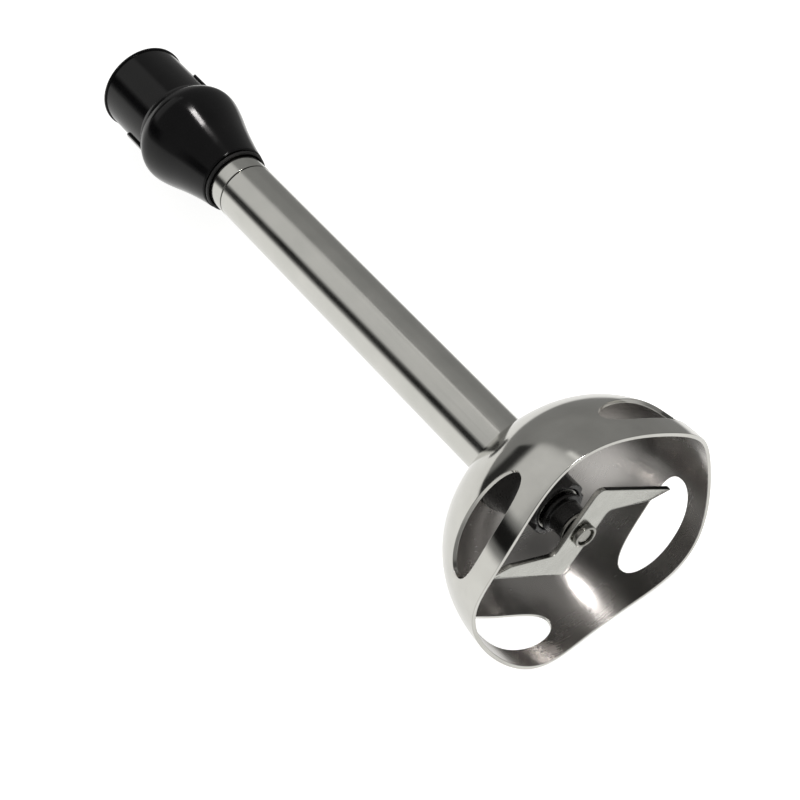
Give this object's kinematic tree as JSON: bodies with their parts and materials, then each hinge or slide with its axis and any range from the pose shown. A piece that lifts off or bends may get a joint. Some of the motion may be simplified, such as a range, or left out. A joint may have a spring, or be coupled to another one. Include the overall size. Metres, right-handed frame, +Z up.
{
  "type": "immersion blender blending leg",
  "caption": "Detachable blending leg: black bayonet coupling, steel tube, slotted wavy-rimmed steel bell and a turning Z-shaped blade, lying on its side.",
  "frame": {"origin": "middle of the part's box, on the table it lies on", "axes": "+Z up; the shaft runs along X, tilted down by 6.3 degrees towards the coupling at -X, with the open bell at +X; -Y is the front"},
  "size_m": [0.2034, 0.067, 0.0671],
  "materials": {
    "polished_steel": "polished",
    "brushed_tube_steel": "satin",
    "turned_steel": "turned",
    "blade_steel": "ground",
    "sintered_bronze": "sintered",
    "gloss_black": "glossy moulded",
    "matt_black": "moulded",
    "grey_nylon": "moulded",
    "seal_rubber": "moulded"
  },
  "bodies": {
    "leg": {"bell": "polished_steel", "neck_weld": "brushed_tube_steel", "dome_gasket": "seal_rubber", "shaft_tube": "brushed_tube_steel", "ferrule": "brushed_tube_steel", "coupling_housing": "gloss_black", "lip_ring": "seal_rubber", "bearing_housing": "grey_nylon", "seal_retainer": "turned_steel", "shaft_seal": "seal_rubber", "lower_bush": "sintered_bronze", "mid_bush_carrier": "grey_nylon", "mid_bush": "sintered_bronze", "upper_bush_carrier": "grey_nylon", "upper_bush": "sintered_bronze", "retaining_ring": "turned_steel"},
    "rotor": {"drive_shaft": "turned_steel", "lower_thrust_washer": "turned_steel", "lower_clip": "turned_steel", "upper_thrust_washer": "turned_steel", "drive_coupler": "matt_black", "coupler_pin": "turned_steel", "hub_washer": "turned_steel", "blade_hub": "matt_black", "blade": "blade_steel", "blade_nut": "turned_steel"}
  },
  "joints": [
    {"name": "blade_spin", "type": "hinge", "parent": "leg", "child": "rotor", "pos_m": [0.09737, 0, 0.03405], "axis": [-0.9939, 0, -0.1104], "continuous": true}
  ]
}
